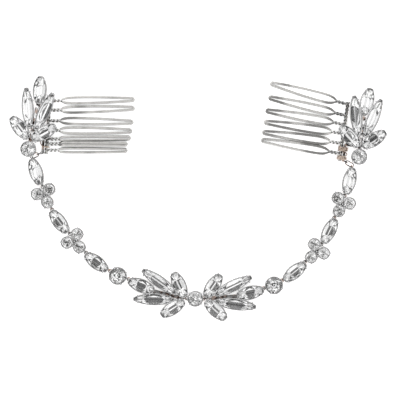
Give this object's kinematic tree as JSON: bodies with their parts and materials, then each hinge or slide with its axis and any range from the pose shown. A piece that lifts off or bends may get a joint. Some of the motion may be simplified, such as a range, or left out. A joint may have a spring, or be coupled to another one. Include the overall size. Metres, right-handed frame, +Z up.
{
  "type": "hair vine with side combs",
  "caption": "Jointed chain of clear stones in silvery cups with leaf clusters, laid in a deep U, with a wire side comb bound to each end to hold it in the hair.",
  "frame": {"origin": "under the middle of the centre stone, on the back of its setting, in the plane that the vine lies on", "axes": "+Z up from the surface that it lies on, out of the stones' tables; +X towards the right half of the vine; +Y from the centre stone towards the open side of the U, where the combs are"},
  "size_m": [0.1501, 0.0976, 0.0069],
  "materials": {
    "plated_metal": "bright silver coloured plating",
    "crystal": "clear cut glass with a foiled back",
    "comb_wire": "bright drawn wire",
    "binding_wire": "dull pinkish wire"
  },
  "bodies": {
    "root": {"centre_setting": "plated_metal", "centre_stone": "crystal", "left_leaf_setting": "plated_metal", "left_leaf_stone_1": "crystal", "left_leaf_stone_2": "crystal", "left_leaf_stone_3": "crystal", "left_leaf_stone_4": "crystal", "left_leaf_stone_5": "crystal", "left_round_setting": "plated_metal", "left_round_stone": "crystal", "left_navette_1_setting": "plated_metal", "left_navette_1_stone": "crystal", "left_trefoil_1_setting": "plated_metal", "left_trefoil_1_stones": "crystal", "left_navette_2_setting": "plated_metal", "left_navette_2_stone": "crystal", "left_trefoil_2_setting": "plated_metal", "left_trefoil_2_stones": "crystal", "left_navette_3_setting": "plated_metal", "left_navette_3_stone": "crystal", "left_link": "plated_metal", "left_spray_setting": "plated_metal", "left_spray_round_stone": "crystal", "left_spray_stone_1": "crystal", "left_spray_stone_2": "crystal", "left_spray_stone_3": "crystal", "left_spray_stone_4": "crystal", "left_spray_stone_5": "crystal", "left_wrap": "binding_wire", "left_comb": "comb_wire", "right_leaf_setting": "plated_metal", "right_leaf_stone_1": "crystal", "right_leaf_stone_2": "crystal", "right_leaf_stone_3": "crystal", "right_leaf_stone_4": "crystal", "right_leaf_stone_5": "crystal", "right_round_setting": "plated_metal", "right_round_stone": "crystal", "right_navette_1_setting": "plated_metal", "right_navette_1_stone": "crystal", "right_trefoil_1_setting": "plated_metal", "right_trefoil_1_stones": "crystal", "right_navette_2_setting": "plated_metal", "right_navette_2_stone": "crystal", "right_trefoil_2_setting": "plated_metal", "right_trefoil_2_stones": "crystal", "right_navette_3_setting": "plated_metal", "right_navette_3_stone": "crystal", "right_link": "plated_metal", "right_spray_setting": "plated_metal", "right_spray_round_stone": "crystal", "right_spray_stone_1": "crystal", "right_spray_stone_2": "crystal", "right_spray_stone_3": "crystal", "right_spray_stone_4": "crystal", "right_spray_stone_5": "crystal", "right_wrap": "binding_wire", "right_comb": "comb_wire"}
  },
  "joints": []
}
